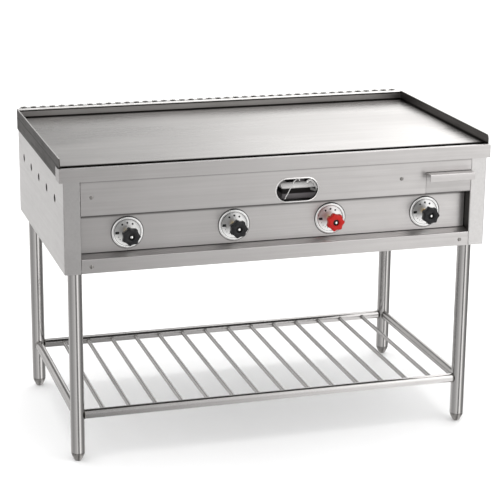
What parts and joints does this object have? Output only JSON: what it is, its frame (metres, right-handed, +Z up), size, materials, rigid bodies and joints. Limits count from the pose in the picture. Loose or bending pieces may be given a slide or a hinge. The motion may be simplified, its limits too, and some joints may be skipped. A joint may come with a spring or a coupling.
{
  "type": "flat top griddle",
  "caption": "Floor-standing gas flat top griddle: steel plate in a low guard, star gas knobs on a recessed front, grease drawer, tube legs and a slatted undershelf.",
  "frame": {"origin": "on the floor, under the middle of the object's box", "axes": "+X to the right seen from the front, +Y to the back, +Z up; the controls face -Y"},
  "size_m": [1.2, 0.7574, 0.85],
  "materials": {
    "griddle_plate_steel": "ground and polished thick steel plate, satin with long streaks",
    "guard_steel": "brushed stainless guards, darker by reflection",
    "brushed_stainless": "fine horizontal brushed grain",
    "frame_steel": "mill finish",
    "supply_pipe": "black pipe",
    "burner_iron": "heat-darkened",
    "valve_brass": "machined",
    "dial_chrome": "bright plated with black marks",
    "knob_black": "moulded black phenolic",
    "knob_red": "moulded red plastic",
    "tube_stainless": "polished tube and bar",
    "foot_steel": "turned steel"
  },
  "bodies": {
    "frame": {"griddle_plate": "griddle_plate_steel", "guard_left": "guard_steel", "guard_right": "guard_steel", "guard_back": "guard_steel", "flue_vent": "brushed_stainless", "front_apron": "brushed_stainless", "grease_trough": "brushed_stainless", "side_panel_left": "brushed_stainless", "side_panel_right": "brushed_stainless", "back_panel": "brushed_stainless", "upper_front_panel": "brushed_stainless", "control_panel": "brushed_stainless", "bottom_rail": "brushed_stainless", "base_pan": "frame_steel", "burner_rail": "frame_steel", "gas_manifold": "supply_pipe", "burner_1": "burner_iron", "gas_valve_1": "valve_brass", "dial_plate_1": "dial_chrome", "burner_2": "burner_iron", "gas_valve_2": "valve_brass", "dial_plate_2": "dial_chrome", "burner_3": "burner_iron", "gas_valve_3": "valve_brass", "dial_plate_3": "dial_chrome", "burner_4": "burner_iron", "gas_valve_4": "valve_brass", "dial_plate_4": "dial_chrome", "leg_front_left": "tube_stainless", "leg_front_right": "tube_stainless", "leg_back_left": "tube_stainless", "leg_back_right": "tube_stainless", "shelf_rail_front": "tube_stainless", "shelf_rail_back": "tube_stainless", "shelf_rail_left": "tube_stainless", "shelf_rail_right": "tube_stainless", "shelf_rod_01": "tube_stainless", "shelf_rod_02": "tube_stainless", "shelf_rod_03": "tube_stainless", "shelf_rod_04": "tube_stainless", "shelf_rod_05": "tube_stainless", "shelf_rod_06": "tube_stainless", "shelf_rod_07": "tube_stainless", "shelf_rod_08": "tube_stainless", "shelf_rod_09": "tube_stainless", "shelf_rod_10": "tube_stainless", "shelf_rod_11": "tube_stainless", "shelf_rod_12": "tube_stainless", "shelf_rod_13": "tube_stainless", "shelf_rod_14": "tube_stainless"},
    "knob_1": {"knob_1": "knob_black"},
    "knob_2": {"knob_2": "knob_black"},
    "knob_3": {"knob_3": "knob_red"},
    "knob_4": {"knob_4": "knob_black"},
    "grease_drawer": {"grease_drawer": "brushed_stainless"},
    "foot_front_left": {"foot_front_left": "foot_steel"},
    "foot_front_right": {"foot_front_right": "foot_steel"},
    "foot_back_left": {"foot_back_left": "foot_steel"},
    "foot_back_right": {"foot_back_right": "foot_steel"}
  },
  "joints": [
    {"name": "knob_1_turn", "type": "hinge", "parent": "frame", "child": "knob_1", "pos_m": [-0.415, -0.3132, 0.636], "axis": [0, -1, 0], "range_deg": [0, 270]},
    {"name": "knob_2_turn", "type": "hinge", "parent": "frame", "child": "knob_2", "pos_m": [-0.123, -0.3132, 0.636], "axis": [0, -1, 0], "range_deg": [0, 270]},
    {"name": "knob_3_turn", "type": "hinge", "parent": "frame", "child": "knob_3", "pos_m": [0.149, -0.3132, 0.636], "axis": [0, -1, 0], "range_deg": [0, 270]},
    {"name": "knob_4_turn", "type": "hinge", "parent": "frame", "child": "knob_4", "pos_m": [0.425, -0.3132, 0.636], "axis": [0, -1, 0], "range_deg": [0, 270]},
    {"name": "grease_drawer_slide", "type": "slide", "parent": "frame", "child": "grease_drawer", "axis": [0, -1, 0], "range_m": [0, 0.105]},
    {"name": "foot_front_left_adjust", "type": "slide", "parent": "frame", "child": "foot_front_left", "axis": [0, 0, -1], "range_m": [0, 0.025]},
    {"name": "foot_front_right_adjust", "type": "slide", "parent": "frame", "child": "foot_front_right", "axis": [0, 0, -1], "range_m": [0, 0.025]},
    {"name": "foot_back_left_adjust", "type": "slide", "parent": "frame", "child": "foot_back_left", "axis": [0, 0, -1], "range_m": [0, 0.025]},
    {"name": "foot_back_right_adjust", "type": "slide", "parent": "frame", "child": "foot_back_right", "axis": [0, 0, -1], "range_m": [0, 0.025]}
  ]
}
